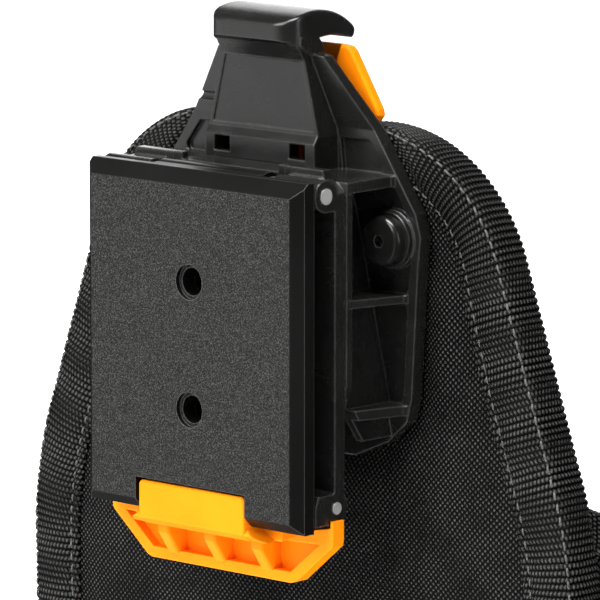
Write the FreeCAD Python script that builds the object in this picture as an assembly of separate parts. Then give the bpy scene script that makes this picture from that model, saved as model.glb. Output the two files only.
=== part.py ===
"""Electrician tool pouch with a quick-release belt hub.

Every dimension is in millimetres. The model is laid out around the centre of
the hub plate's front face: X to the wearer's right seen from the hub side,
Y away from the belt and into the pouch, Z up. save() then moves each piece so
that the origin is under the middle of the pouch, on the surface it stands on.
"""
import FreeCAD, Part
import os
import math

os.makedirs("parts", exist_ok=True)
V = FreeCAD.Vector

# ---------------------------------------------------------------- whole object
HUB_HEIGHT = 220.0          # hub centre above the pouch's base
PANEL_TOP = 61.5            # top of the back panel above the hub centre
PANEL_HALF = 108.0          # half of the widest part of the back panel
POUCH_FRONT = 148.0         # front of the rivets on the front pockets

# ---------------------------------------------------------------- belt hub
PLATE_HALF_X = 42.5
PLATE_FACE_X = 39.3         # where the side chamfer starts on the front face
PLATE_THICK = 6.8
PLATE_TOP = 50.5
PLATE_FACE_TOP = 46.3
PLATE_BOTTOM = -50.0
PLATE_HOLE_SPACING = 37.0   # two mounting holes, one above the other
PLATE_HOLE_R = 4.05
PLATE_SINK_R = 5.15
PLATE_SINK_DEPTH = 1.6
NOTCH_HALF = 21.7           # the latch tab's notch in the plate
NOTCH_TOP = -40.6
WALL_Y0, WALL_Y1 = 15.4, 19.5      # the hub's wall behind the belt
HINGE_Y, HINGE_Z, HINGE_R = 11.7, 46.1, 2.3
KNUCKLE_R = 5.0
OUTER_KNUCKLE_R = 4.6
CENTRE_KNUCKLE = 20.8       # half-length of the plate's knuckle
OUTER_KNUCKLE = 24.6        # where the hub's outer knuckles start
EAR_INNER, EAR_OUTER, EAR_TOP = 19.0, 36.8, 52.6   # stops over the plate's top edge
LATCH_Y, LATCH_Z, LATCH_R = 16.2, -43.8, 1.75
LATCH_LIP = -67.1           # lower edge of the finger latch
FIT = 0.05                  # running clearance on the pins

# ---------------------------------------------------------------- bracket
WEDGE_TOP = 46.5
WEDGE_BOTTOM = -20.0
CHANNEL_TOP_HALF = 24.8     # outer face of the channel wall at CHANNEL_TOP
CHANNEL_TOP = 48.0
CHANNEL_SLOPE = 0.241       # how fast the channel widens downwards
CHANNEL_WALL = 2.6
SLIDE_GAP = 0.4
FRONT_Y0, FRONT_Y1 = 19.8, 22.2    # the bracket's front plate
FLANGE_Y0, FLANGE_Y1 = 39.6, 44.1  # the flange that lies on the pouch
CELL_FLOOR = 41.0
TOP_RIB_Z0, TOP_RIB_Z1 = 46.0, 49.2
MIDDLE_RIB_Z0, MIDDLE_RIB_Z1 = 13.0, 15.4
LOW_RIB_Z0, LOW_RIB_Z1 = -19.5, -16.5
HOOD_HALF = 17.0
LEVER_Y, LEVER_Z, LEVER_PIN_R = 38.0, 66.0, 1.5
SCREW_X, SCREW_Z = 42.5, 31.0      # the two upper screws
LOW_SCREW_X, LOW_SCREW_Z = 15.0, -10.0
SCREW_R, SCREW_HEAD_R, WASHER_R = 2.5, 7.2, 8.2
LEAF_RIVET_X, LEAF_RIVET_Z, LEAF_RIVET_R = 4.0, 29.5, 1.2

# ---------------------------------------------------------------- back panel
FACE_Y = 45.0               # wearer's side of the back fabric
FABRIC = 1.2
FOAM = 5.5
BOARD = 2.5
LINING = 1.2
BINDING_THICK = 0.8
BINDING_BAND = 18.0

# ---------------------------------------------------------------- pouch body
BODY_Y0, BODY_Y1 = 56.6, 120.0
BODY_HALF = 100.0
BODY_CORNER = 24.0
BODY_WALL = 2.5
MOUTH_BACK, MOUTH_FRONT = -42.0, -66.0
BASE_Z = -220.0
BASE_THICK = 2.5
BASE_BOARD = 2.0
DIVIDER_Y = 84.0
POCKET_INNER, POCKET_OUTER = 4.0, 72.0   # X range of one front pocket
POCKET_Y1 = 145.6
POCKET_TOP = -112.0
POCKET_WALL = 2.0
RIVET_DROP = 17.0           # the pocket rivets below the mouth's back edge
RIVET_INSET = 16.0          # and in from the pocket's sides
RIVET_R = 1.6
MOUTH_BAND = 13.0
LOOP_COUNT = 5
LOOP_PITCH = 29.0
LOOP_HALF = 12.0
LOOP_Z0, LOOP_Z1 = -104.0, -78.0
LOOP_DEPTH = 9.0
STRAP = 1.6


# ---------------------------------------------------------------- helpers
def box(x0, x1, y0, y1, z0, z1):
    return Part.makeBox(x1 - x0, y1 - y0, z1 - z0, V(x0, y0, z0))


def wide_box(half, y0, y1, z0, z1):
    return box(-half, half, y0, y1, z0, z1)


def face_of(points):
    return Part.Face(Part.makePolygon(points + [points[0]]))


def prism_x(points, x0, x1):
    """A (Y, Z) outline carried from x0 to x1."""
    return face_of([V(x0, y, z) for y, z in points]).extrude(V(x1 - x0, 0, 0))


def prism_y(points, y0, y1):
    """An (X, Z) outline carried from y0 to y1."""
    return face_of([V(x, y0, z) for x, z in points]).extrude(V(0, y1 - y0, 0))


def prism_z(points, z0, z1):
    """An (X, Y) outline carried from z0 to z1."""
    return face_of([V(x, y, z0) for x, y in points]).extrude(V(0, 0, z1 - z0))


def rod_x(y, z, r, x0, x1):
    return Part.makeCylinder(r, x1 - x0, V(x0, y, z), V(1, 0, 0))


def rod_y(x, z, r, y0, y1):
    return Part.makeCylinder(r, y1 - y0, V(x, y0, z), V(0, 1, 0))


def mirrored(shape):
    return shape.mirror(V(0, 0, 0), V(1, 0, 0))


def both_sides(shape):
    return [shape, mirrored(shape)]


def joined(shapes):
    return shapes[0].multiFuse(shapes[1:]).removeSplitter()


def both_halves(points):
    """An outline given on the +X side, completed by its mirror image."""
    return points + [(-x, z) for x, z in reversed(points)]


def rounded(shape, radius, wanted):
    """Fillet the edges whose middle point satisfies wanted()."""
    edges = []
    for edge in shape.Edges:
        middle = edge.valueAt((edge.FirstParameter + edge.LastParameter) / 2)
        if wanted(edge, middle):
            edges.append(edge)
    return shape.makeFillet(radius, edges)


def runs_along(edge, axis):
    """True for a straight edge along one axis (0, 1 or 2)."""
    if len(edge.Vertexes) != 2:
        return False
    step = edge.Vertexes[1].Point - edge.Vertexes[0].Point
    return step.Length > 0.5 and abs(step[axis]) > 0.999 * step.Length


def coil(y, z, radius, wire, x0, turns):
    """A torsion spring's coil round a pin along X."""
    pitch = wire * 1.15
    helix = Part.makeHelix(pitch, pitch * turns, radius)
    section = Part.Wire(Part.makeCircle(wire / 2, V(radius, 0, 0), V(0, 1, 0)))
    spring = Part.Wire(helix).makePipeShell([section], True, True)
    spring.rotate(V(0, 0, 0), V(0, 1, 0), 90)
    spring.translate(V(x0, y, z))
    return spring


def save(name, shape):
    solids = shape if isinstance(shape, list) else [shape]
    compound = Part.makeCompound(solids) if len(solids) > 1 else solids[0]
    placed = compound.copy()
    placed.translate(V(0, -POUCH_FRONT / 2, HUB_HEIGHT))
    placed.exportStep("parts/%s.step" % name)
    volume = sum(solid.Volume for solid in placed.Solids) / 1000.0
    print("%-22s %2d solid(s) %8.2f cm3 valid %s"
          % (name, len(placed.Solids), volume, placed.isValid()))


# ---------------------------------------------------------------- belt hub
def wedge_half(z, inset):
    """Half-width of the hub's wedge at height z, less an inset."""
    outer = CHANNEL_TOP_HALF + CHANNEL_SLOPE * (CHANNEL_TOP - z)
    return outer - CHANNEL_WALL - SLIDE_GAP - inset


def wedge_outline(inset, top, bottom):
    return both_halves([(wedge_half(bottom, inset), bottom), (wedge_half(top, inset), top)])


def hub_plate():
    profile = [(0, PLATE_FACE_TOP), (0, -47.0), (3.0, PLATE_BOTTOM), (PLATE_THICK, PLATE_BOTTOM),
               (PLATE_THICK, PLATE_TOP), (4.2, PLATE_TOP)]
    plan = [(-PLATE_HALF_X, 2.8), (-PLATE_FACE_X, 0), (PLATE_FACE_X, 0), (PLATE_HALF_X, 2.8),
            (PLATE_HALF_X, PLATE_THICK), (-PLATE_HALF_X, PLATE_THICK)]
    plate = prism_x(profile, -PLATE_HALF_X, PLATE_HALF_X)
    plate = plate.common(prism_z(plan, PLATE_BOTTOM, PLATE_TOP))
    plate = rounded(plate, 0.5, lambda e, p: p.y < 0.1)
    knuckle = rod_x(HINGE_Y, HINGE_Z, KNUCKLE_R, -CENTRE_KNUCKLE, CENTRE_KNUCKLE)
    bridge = wide_box(CENTRE_KNUCKLE, PLATE_THICK - 1, HINGE_Y, HINGE_Z - 1.5, PLATE_TOP)
    plate = joined([plate, knuckle, bridge])
    plate = plate.cut(rod_x(HINGE_Y, HINGE_Z, HINGE_R + FIT, -50, 50))
    plate = plate.cut(wide_box(NOTCH_HALF, -1, 8, PLATE_BOTTOM - 1, NOTCH_TOP))
    plate = plate.cut(wide_box(7.0, 3.6, 5.2, NOTCH_TOP - 1, NOTCH_TOP + 2.6))
    for side in (-1, 1):
        z = side * PLATE_HOLE_SPACING / 2
        plate = plate.cut(rod_y(0, z, PLATE_HOLE_R, -1, 8))
        plate = plate.cut(rod_y(0, z, PLATE_SINK_R, -1, PLATE_SINK_DEPTH))
    rib = wide_box(37.0, PLATE_THICK - 0.1, PLATE_THICK + 0.6, -1.2, 1.2)
    return plate.fuse([rib.translated(V(0, 0, z)) for z in (-33, -6, 6, 33)]).removeSplitter()


def hub_body():
    wall = prism_y(both_halves([(PLATE_HALF_X, -44.0), (PLATE_HALF_X, 46.4), (36.5, PLATE_TOP)]),
                   WALL_Y0, WALL_Y1)
    lug = rod_x(HINGE_Y, HINGE_Z, OUTER_KNUCKLE_R, OUTER_KNUCKLE, PLATE_HALF_X)
    lug_root = box(OUTER_KNUCKLE, PLATE_HALF_X, HINGE_Y, WALL_Y1, HINGE_Z - OUTER_KNUCKLE_R, HINGE_Z)
    ear = prism_y([(EAR_INNER, HINGE_Z), (EAR_OUTER + 1.6, HINGE_Z), (EAR_OUTER, EAR_TOP),
                   (EAR_INNER, EAR_TOP)], WALL_Y0 + 1.0, WALL_Y1)
    deck = wide_box(CENTRE_KNUCKLE, HINGE_Y + KNUCKLE_R + 0.5, 28.6, HINGE_Z - 3.5, PLATE_TOP)
    foot_profile = [(8.6, -39.6), (WALL_Y0 + 1, -39.6), (WALL_Y1, -43.8), (WALL_Y1, -44.5),
                    (LATCH_Y, -48.3), (7.4, -48.3), (7.4, -43.0)]
    foot = prism_x(foot_profile, -PLATE_HALF_X, PLATE_HALF_X)
    latch_boss = rod_x(LATCH_Y, LATCH_Z, 4.5, -PLATE_HALF_X, PLATE_HALF_X)
    stem = prism_y(wedge_outline(6.0, 50.0, WEDGE_BOTTOM), WALL_Y1 - 1, 26.0)
    head = prism_y(wedge_outline(0.0, WEDGE_TOP, WEDGE_BOTTOM), FRONT_Y1 + 0.3, 37.0)
    head = head.common(prism_x([(20, WEDGE_BOTTOM + 8), (37, WEDGE_BOTTOM), (38, 40), (34, 60), (20, 60)],
                               -60, 60))
    body = joined([wall] + both_sides(lug) + both_sides(lug_root) + both_sides(ear)
                  + [deck, foot, latch_boss, stem, head])
    body = body.cut(wide_box(CENTRE_KNUCKLE + 1.0, 5, HINGE_Y + KNUCKLE_R + 0.5, 38.0, 60))
    spring_room = box(CENTRE_KNUCKLE, OUTER_KNUCKLE, 5, HINGE_Y + KNUCKLE_R, 38.0, 60)
    body = body.cut(spring_room).cut(mirrored(spring_room))
    body = body.cut(rod_x(HINGE_Y, HINGE_Z, HINGE_R, -50, 50))
    body = body.cut(rod_x(LATCH_Y, LATCH_Z, LATCH_R, -50, 50))
    lug_slot = box(11.0, 21.4, 5, 30, -60, -38.4)
    body = body.cut(lug_slot).cut(mirrored(lug_slot))
    tab_room = prism_x([(0, -39.0), (8.3, -39.0), (8.3, -50), (0, -50)], -NOTCH_HALF, NOTCH_HALF)
    body = body.cut(tab_room)
    catch_pocket = wide_box(8.0, 33.0, 40.0, 37.5, 43.4)
    body = body.cut(catch_pocket)
    for x0, x1 in ((-9.5, -1.0), (1.0, 9.5)):
        for z0, z1 in ((4.0, 32.0), (-17.0, 1.5)):
            body = body.cut(box(x0, x1, 24.0, 40.0, z0, z1))
    return body


def hub_latch():
    """The orange finger latch under the plate."""
    tab = prism_x([(0.5, -41.4), (0.5, -52.5), (3.4, -54.5), (3.4, -41.4)], -20.9, 20.9)
    web = prism_x([(0.5, -52.5), (3.4, -49.3), (17.0, -50.2), (17.0, -53.0), (4.5, -54.6)], -29.0, 29.0)
    web_front = prism_y(both_halves([(29.0, -56.0), (20.9, -50.8), (20.9, -49.0)]), 0, 8)
    web = web.common(web_front.fuse(wide_box(29.0, 7.9, 20, -56, -49)))
    flange = prism_y(latch_flange_outline(), 13.2, 17.8)
    recess = prism_y(both_halves([(27.4, LATCH_LIP + 3.2), (38.6, -54.4), (29.0, -54.8)]), 12, 16.6)
    flange = flange.cut(recess)
    rib_profile = [(8.0, -53.0), (17.0, -53.0), (17.0, LATCH_LIP + 2.0), (12.4, LATCH_LIP + 2.6), (8.0, -58.0)]
    ribs = []
    for x in (-18.6, 0.0, 18.6):
        rib = prism_x(rib_profile, x - 2.2, x + 2.2)
        ribs.append(rounded(rib, 1.0, lambda e, p: p.y < 12.5 and p.z < -55 and abs(abs(p.x - x) - 2.2) < 0.1))
    arm = prism_x([(12.2, LATCH_Z), (LATCH_Y, LATCH_Z - 4), (LATCH_Y + 4, LATCH_Z), (17.0, -51.0),
                   (12.2, -51.0)], 11.6, 20.8)
    eye = rod_x(LATCH_Y, LATCH_Z, 4.2, 11.6, 20.8)
    latch = joined([tab, web, flange] + ribs + both_sides(arm) + both_sides(eye))
    latch = latch.cut(rod_x(LATCH_Y, LATCH_Z, LATCH_R + FIT, -30, 30)).cut(latch_clip())
    latch = rounded(latch, 1.6, lambda e, p: runs_along(e, 1) and p.z > -41.6 and p.y < 3.0)
    return rounded(latch, 0.6, lambda e, p: p.y < 0.6)


def latch_flange_outline():
    """The pull flange: a straight lip, and wings that reach up beside the hub."""
    return both_halves([(27.6, LATCH_LIP), (29.6, LATCH_LIP + 0.6), (43.6, -54.6), (43.9, -53.2),
                        (43.9, -47.2), (42.9, -47.2), (42.9, -49.2), (36.0, -50.6), (29.0, -52.0)])


def latch_clip():
    """Sheet-steel hook on the back of the latch tab, sprung into the plate."""
    return wide_box(6.0, 4.0, 4.6, -47.0, NOTCH_TOP + 1.8).fuse(
        wide_box(6.0, 3.4, 4.6, -50.0, -47.0)).removeSplitter()


# ---------------------------------------------------------------- bracket
FLANGE_RIGHT = [(28.0, -33.5), (41.0, -28.0), (48.2, -21.5), (50.0, -14.7), (51.2, 5.8), (52.2, 23.3),
                (53.2, 32.0), (51.2, 38.9), (37.0, 59.4), (20.6, 82.0), (12.0, 83.0)]
SHOULDER_SIDE = [(33.8, 83.0), (FLANGE_Y0, 61.5), (FLANGE_Y0, -40.0), (FLANGE_Y1, -40.0),
                 (FLANGE_Y1, 61.0), (37.6, 83.0)]


def channel_half(z):
    return CHANNEL_TOP_HALF + CHANNEL_SLOPE * (CHANNEL_TOP - z)


def side_cell(z0, z1):
    """The hollow between the channel wall and the outer rail, rounded at the rail."""
    rail = {LOW_RIB_Z1: 46.8, MIDDLE_RIB_Z0: 48.4, MIDDLE_RIB_Z1: 48.6, TOP_RIB_Z0: 43.4}
    points = [(channel_half(z0), z0), (rail[z0], z0)]
    if z1 > SCREW_Z:
        points += [(50.2, 30.0), (48.8, 37.0)]
    points += [(rail[z1], z1), (channel_half(z1), z1)]
    cell = prism_y(points, FRONT_Y1, CELL_FLOOR)
    return rounded(cell, 2.8, lambda e, p: runs_along(e, 1) and p.x > 43.0 and min(p.z - z0, z1 - p.z) < 0.1)


def bracket_ribs():
    """Three shelves on each side, and the plan they share."""
    plan = [(21.6, FRONT_Y1 - 1), (42.9, FRONT_Y0), (43.4, FRONT_Y1), (47.6, 38.6), (48.6, FLANGE_Y0),
            (48.6, FLANGE_Y1 - 0.5), (21.6, FLANGE_Y1 - 0.5)]
    top_plan = [(x if x < 40 or y < 30 else x - 5.0, y) for x, y in plan]
    return [prism_z(top_plan, TOP_RIB_Z0, TOP_RIB_Z1), prism_z(plan, MIDDLE_RIB_Z0, MIDDLE_RIB_Z1),
            prism_z(plan, LOW_RIB_Z0, LOW_RIB_Z1)]


def bracket():
    flange = prism_y(both_halves(FLANGE_RIGHT), 30.0, FLANGE_Y1 + 1)
    flange = flange.common(prism_x(SHOULDER_SIDE, -60, 60))
    front = prism_y(both_halves([(37.0, -26.0), (42.9, -9.0), (42.9, 45.6), (39.0, TOP_RIB_Z1)]),
                    FRONT_Y0, FRONT_Y1)
    wall = prism_y([(channel_half(-26.0) - CHANNEL_WALL, -26.0), (channel_half(-26.0), -26.0),
                    (channel_half(TOP_RIB_Z1), TOP_RIB_Z1),
                    (channel_half(TOP_RIB_Z1) - CHANNEL_WALL, TOP_RIB_Z1)], FRONT_Y0, FLANGE_Y0 + 1)
    pieces = [flange, front, neck_block(), hood()]
    for shape in [wall, screw_boss()] + bracket_ribs():
        pieces += both_sides(shape)
    body = joined(pieces)
    for z0, z1 in ((LOW_RIB_Z1, MIDDLE_RIB_Z0), (MIDDLE_RIB_Z1, TOP_RIB_Z0)):
        cell = side_cell(z0, z1)
        if z1 > SCREW_Z:
            cell = cell.cut(screw_boss())
        body = body.cut(cell).cut(mirrored(cell))
    recess = prism_y([(23.2, TOP_RIB_Z1), (22.2, 58.6), (33.4, 58.6), (39.0, 51.4), (38.4, TOP_RIB_Z1)],
                     30.0, FLANGE_Y0 + 1.4)
    recess = rounded(recess, 1.2, lambda e, p: runs_along(e, 1) and p.x > 38.0)
    body = body.cut(recess).cut(mirrored(recess))
    channel = prism_y(wedge_outline(-SLIDE_GAP, WEDGE_TOP + SLIDE_GAP, -40.0), FRONT_Y1, FLANGE_Y0)
    slot = prism_y(wedge_outline(6.0 - SLIDE_GAP, 54.0, -40.0), FRONT_Y0 - 1, FRONT_Y1 + 1)
    body = body.cut(channel).cut(slot)
    skirt = prism_x([(10, -12.0), (19.0, -9.0), (31.0, -34.0), (10, -34.0)], -60, 60)
    body = body.cut(skirt)
    body = body.cut(wide_box(21.6, 10, 29.0, 40, 54)).cut(wide_box(21.2, 10, FRONT_Y1 + 1, 26, 54))
    body = body.cut(lever_cavity())
    for x in (-14.8, 14.8):
        window = prism_y([(x - 3.2, 52.2), (x + 3.2, 52.2), (x + 3.0, 56.6), (x - 3.0, 56.6)], 26, 36)
        body = body.cut(window)
    body = body.cut(rod_x(LEVER_Y, LEVER_Z, LEVER_PIN_R, -60, 17.6))
    for x, z in screw_places():
        body = body.cut(rod_y(x, z, SCREW_R + 0.1, 30, 50))
    for side in (-1, 1):
        body = body.cut(rod_y(side * LOW_SCREW_X, LOW_SCREW_Z, 5.6, FLANGE_Y0 - 1, FLANGE_Y0 + 2.6))
        body = body.cut(rod_y(side * LEAF_RIVET_X, LEAF_RIVET_Z, LEAF_RIVET_R, 30, 50))
    return body


def neck_block():
    """The tongue between the hub and the grip, wider at its foot."""
    side = [(29.4, TOP_RIB_Z0), (29.4, 57.0), (31.0, 59.4), (31.0, 80.6), (28.0, 85.2), (28.0, 88.0),
            (36.2, 88.0), (36.2, 84.0), (41.5, 75.0), (41.5, TOP_RIB_Z0)]
    front = both_halves([(21.6, TOP_RIB_Z0), (21.5, 59.0), (16.2, 80.6), (15.6, 88.0)])
    neck = prism_x(side, -30, 30).common(prism_y(front, 20, 45))
    panel = prism_y(both_halves([(19.9, 60.4), (15.0, 80.2)]), 30.0, 31.4)
    return neck.cut(panel)


def hood():
    """The mushroom grip over the neck, rounded in plan, on cheeks that run into the shoulders."""
    top = Part.Arc(V(0, 24.2, 91.4), V(0, 35.5, 94.9), V(0, 51.2, 89.6)).toShape()
    tip = Part.Arc(V(0, 51.2, 89.6), V(0, 51.6, 87.4), V(0, 49.9, 85.9)).toShape()
    under = Part.Arc(V(0, 49.9, 85.9), V(0, 43.5, 87.2), V(0, 36.2, 86.8)).toShape()
    back = Part.makeLine(V(0, 36.2, 86.8), V(0, 28.0, 85.2))
    lip = Part.makeLine(V(0, 28.0, 85.2), V(0, 24.2, 86.6))
    front = Part.makeLine(V(0, 24.2, 86.6), V(0, 24.2, 91.4))
    section = Part.Face(Part.Wire([top, tip, under, back, lip, front]))
    grip = section.extrude(V(2 * HOOD_HALF, 0, 0))
    grip.translate(V(-HOOD_HALF, 0, 0))
    plan = wide_box(HOOD_HALF, 24.2, 54.0, 80, 100)
    plan = rounded(plan, 6.8, lambda e, p: runs_along(e, 2) and p.y < 25)
    plan = rounded(plan, 4.0, lambda e, p: runs_along(e, 2) and p.y > 53)
    grip = rounded(grip.common(plan), 1.2, lambda e, p: p.z > 91 and abs(p.x) > 12 or p.y < 24.3 and p.z > 91)
    cheek = prism_x([(28.6, 87.4), (28.6, 85.0), (34.6, 81.6), (38.6, 80.8), (39.2, 83.3), (36.2, 87.4)],
                    -HOOD_HALF, HOOD_HALF)
    return grip.fuse(cheek)


def screw_boss():
    return rod_y(SCREW_X, SCREW_Z, WASHER_R + 0.4, 39.0, FLANGE_Y1 - 0.5)


def lever_cavity():
    """Room inside the neck for the release lever, open at its foot and back."""
    room = prism_y(both_halves([(19.0, 46.5), (18.6, 61.0), (13.4, 70.6)]), 33.4, 40.4)
    back = prism_y(both_halves([(13.4, 46.5), (13.4, 70.6)]), 39.0, 46.0)
    leaf_room = wide_box(9.0, 37.0, 45.0, 32.0, 52.0)
    return joined([room, back, leaf_room])


def screw_places():
    return [(-SCREW_X, SCREW_Z), (SCREW_X, SCREW_Z), (-LOW_SCREW_X, LOW_SCREW_Z), (LOW_SCREW_X, LOW_SCREW_Z)]


def bracket_screws():
    """Two button-head screws above, two flush heads inside the channel."""
    screws = []
    for x, z in screw_places():
        upper = z > 0
        head_y = 37.4 if upper else FLANGE_Y0 + 2.6
        shank = rod_y(x, z, SCREW_R, head_y - 1.5, 62.6)
        if upper:
            head = rod_y(x, z, SCREW_HEAD_R, 33.6, 37.4)
            head = rounded(head, 1.6, lambda e, p: p.y < 33.7)
        else:
            head = rod_y(x, z, 5.2, head_y - 2.3, head_y)
        socket = prism_y([(x + 1.9 * math.cos(math.radians(60 * k)), z + 1.9 * math.sin(math.radians(60 * k)))
                          for k in range(6)], 30.0, head_y - 1.4)
        screws.append(head.fuse(shank).cut(socket))
    return screws


def bracket_washers():
    rings = []
    for x in (-SCREW_X, SCREW_X):
        ring = rod_y(x, SCREW_Z, WASHER_R, 37.4, 39.0).cut(rod_y(x, SCREW_Z, SCREW_R + 0.1, 37, 40))
        rings.append(rounded(ring, 0.4, lambda e, p: p.y < 37.5))
    return rings


def release_lever():
    """Orange thumb lever pivoted in the neck, its pad scooped for the thumb."""
    bridge = prism_x([(35.4, 62.8), (46.5, 62.8), (46.5, 69.8), (36.0, 69.6), (34.2, 66.0)], -12.6, 12.6)
    pad = prism_y(both_halves([(28.6, 62.6), (30.8, 63.0), (32.2, 64.8), (31.8, 66.6), (21.6, 82.6),
                               (20.2, 83.8), (17.6, 84.2)]), 45.0, 48.4)
    pad = rounded(pad, 0.9, lambda e, p: not runs_along(e, 1))
    scoop = prism_y(both_halves([(6.0, 67.0), (14.6, 76.0), (18.2, 86.0)]), 44.0, 46.3)
    hollow = prism_y(both_halves([(27.0, 65.8), (18.5, 81.4)]), 47.4, 60.0)
    pad = pad.cut(scoop).cut(hollow)
    leg = prism_x([(34.0, 47.4), (36.6, 47.4), (38.4, 60.6), (34.4, 60.6)], 5.0, 10.2)
    tie = prism_x([(34.4, 59.4), (38.4, 59.4), (38.9, 68.6), (35.2, 68.6)], -17.4, 17.4)
    tie = tie.common(prism_y(both_halves([(17.4, 59.0), (17.4, 60.6), (13.0, 68.6)]), 30, 50))
    bar = wide_box(17.4, 34.6, 36.6, 47.4, 50.0)
    lever = joined([bridge, pad, tie, bar] + both_sides(leg))
    lever = lever.common(wide_box(40.0, 33.7, 60, 40, 90))
    return lever.cut(rod_x(LEVER_Y, LEVER_Z, LEVER_PIN_R + FIT, -60, 60))


def lock_leaf():
    """Spring-steel catch: a leaf on the flange with a tooth in the hub."""
    leaf = wide_box(7.0, 38.5, 39.3, 27.0, 50.5)
    tooth = wide_box(6.0, 34.2, 38.6, 41.9, 43.0)
    leaf = leaf.fuse(tooth).removeSplitter()
    for side in (-1, 1):
        leaf = leaf.cut(rod_y(side * LEAF_RIVET_X, LEAF_RIVET_Z, LEAF_RIVET_R, 38, 40))
    return leaf


def lock_leaf_rivets():
    rivets = []
    for side in (-1, 1):
        rivet = rod_y(side * LEAF_RIVET_X, LEAF_RIVET_Z, LEAF_RIVET_R, 38.5, FLANGE_Y1)
        rivets.append(rivet.fuse(rod_y(side * LEAF_RIVET_X, LEAF_RIVET_Z, 2.0, 37.6, 38.5)))
    return rivets


# ---------------------------------------------------------------- back panel
def panel_wire():
    """Outline of the back panel at Y = 0: broad shoulders, straight flanks."""
    def point(x, z):
        return V(x, 0, z)

    def half(side):
        shoulder = Part.Arc(point(side * 22, PANEL_TOP), point(side * 60, 53.0), point(side * 79, 30.0))
        flank = Part.LineSegment(point(side * 79, 30.0), point(side * 99.4, -29.0))
        hip = Part.Arc(point(side * 99.4, -29.0), point(side * 105.6, -50.0), point(side * PANEL_HALF, -72.0))
        side_line = Part.LineSegment(point(side * PANEL_HALF, -72.0), point(side * 106.0, -198.0))
        corner = Part.Arc(point(side * 106.0, -198.0), point(side * 100.0, -213.5), point(side * 85.0, BASE_Z))
        return [shoulder, flank, hip, side_line, corner]

    top = Part.LineSegment(point(-22, PANEL_TOP), point(22, PANEL_TOP))
    bottom = Part.LineSegment(point(85.0, BASE_Z), point(-85.0, BASE_Z))
    curves = [top] + half(1) + [bottom] + half(-1)
    return Part.Wire(Part.__sortEdges__([curve.toShape() for curve in curves]))


def panel_slab(y0, y1, inset=0.0):
    face = Part.Face(panel_wire())
    if inset:
        face = Part.Face(face.makeOffset2D(-inset).Wires[0])
    slab = face.extrude(V(0, y1 - y0, 0))
    slab.translate(V(0, y0, 0))
    return slab


def panel_layer(y0, y1):
    layer = panel_slab(y0, y1, BINDING_THICK + 0.2)
    for x, z in screw_places():
        layer = layer.cut(rod_y(x, z, SCREW_R + 0.1, y0 - 1, y1 + 1))
    return layer


def back_binding():
    band = panel_slab(FACE_Y - BINDING_THICK, FACE_Y + panel_stack() + BINDING_THICK)
    core = panel_slab(FACE_Y, FACE_Y + panel_stack(), BINDING_THICK)
    middle = panel_slab(FACE_Y - 5, FACE_Y + 20, BINDING_BAND)
    return band.cut(core).cut(middle)


def panel_stack():
    return FABRIC + FOAM + BOARD + LINING


def backing_plate():
    """Steel plate inside the pouch that the bracket's screws pull against."""
    plate = wide_box(50.0, 55.6, 57.1, -18.0, 39.0)
    plate = rounded(plate, 6.0, lambda e, p: runs_along(e, 1))
    for x, z in screw_places():
        plate = plate.cut(rod_y(x, z, SCREW_R + 0.1, 50, 60))
    return plate


def bracket_nuts():
    nuts = []
    for x, z in screw_places():
        corners = [(x + 4.6 * math.cos(math.radians(60 * k)), z + 4.6 * math.sin(math.radians(60 * k)))
                   for k in range(6)]
        nuts.append(prism_y(corners, 57.1, 61.4).cut(rod_y(x, z, SCREW_R, 50, 70)))
    return nuts


# ---------------------------------------------------------------- pouch body
def body_prism(grow, z0, z1, y0=BODY_Y0):
    """The body's plan, rounded at its two front corners, from z0 to z1."""
    half, front = BODY_HALF + grow, BODY_Y1 + grow
    radius = BODY_CORNER + grow
    block = wide_box(half, y0, front, z0, z1)
    return rounded(block, radius, lambda e, p: p.y > front - 0.1 and runs_along(e, 2))


def above_mouth(offset):
    """Everything above the sloping mouth of the main pocket."""
    back, front = MOUTH_BACK + offset, MOUTH_FRONT + offset
    slope = (front - back) / (BODY_Y1 - BODY_Y0)
    return prism_x([(40, back + slope * (40 - BODY_Y0)), (140, back + slope * (140 - BODY_Y0)),
                    (140, 100), (40, 100)], -150, 150)


def main_pocket():
    floor = BASE_Z + BASE_THICK
    shell = body_prism(0, floor, 0).cut(body_prism(-BODY_WALL, floor - 1, 1, BODY_Y0 - 1))
    return shell.cut(above_mouth(0))


def main_binding():
    band = body_prism(BINDING_THICK, -200, 0).cut(
        body_prism(-BODY_WALL - BINDING_THICK, -201, 1, BODY_Y0 - 1))
    band = band.cut(above_mouth(BINDING_THICK))
    band = band.common(above_mouth(-MOUTH_BAND))
    return band.cut(main_pocket())


def base_panel():
    return body_prism(0, BASE_Z, BASE_Z + BASE_THICK)


def base_board():
    z0 = BASE_Z + BASE_THICK
    return body_prism(-BODY_WALL - 0.3, z0, z0 + BASE_BOARD, BODY_Y0 + 0.3)


def divider():
    z0 = BASE_Z + BASE_THICK + BASE_BOARD + 0.2
    sheet = wide_box(BODY_HALF - BODY_WALL - 0.1, DIVIDER_Y, DIVIDER_Y + 1.6, z0, -92.0)
    return sheet


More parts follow.
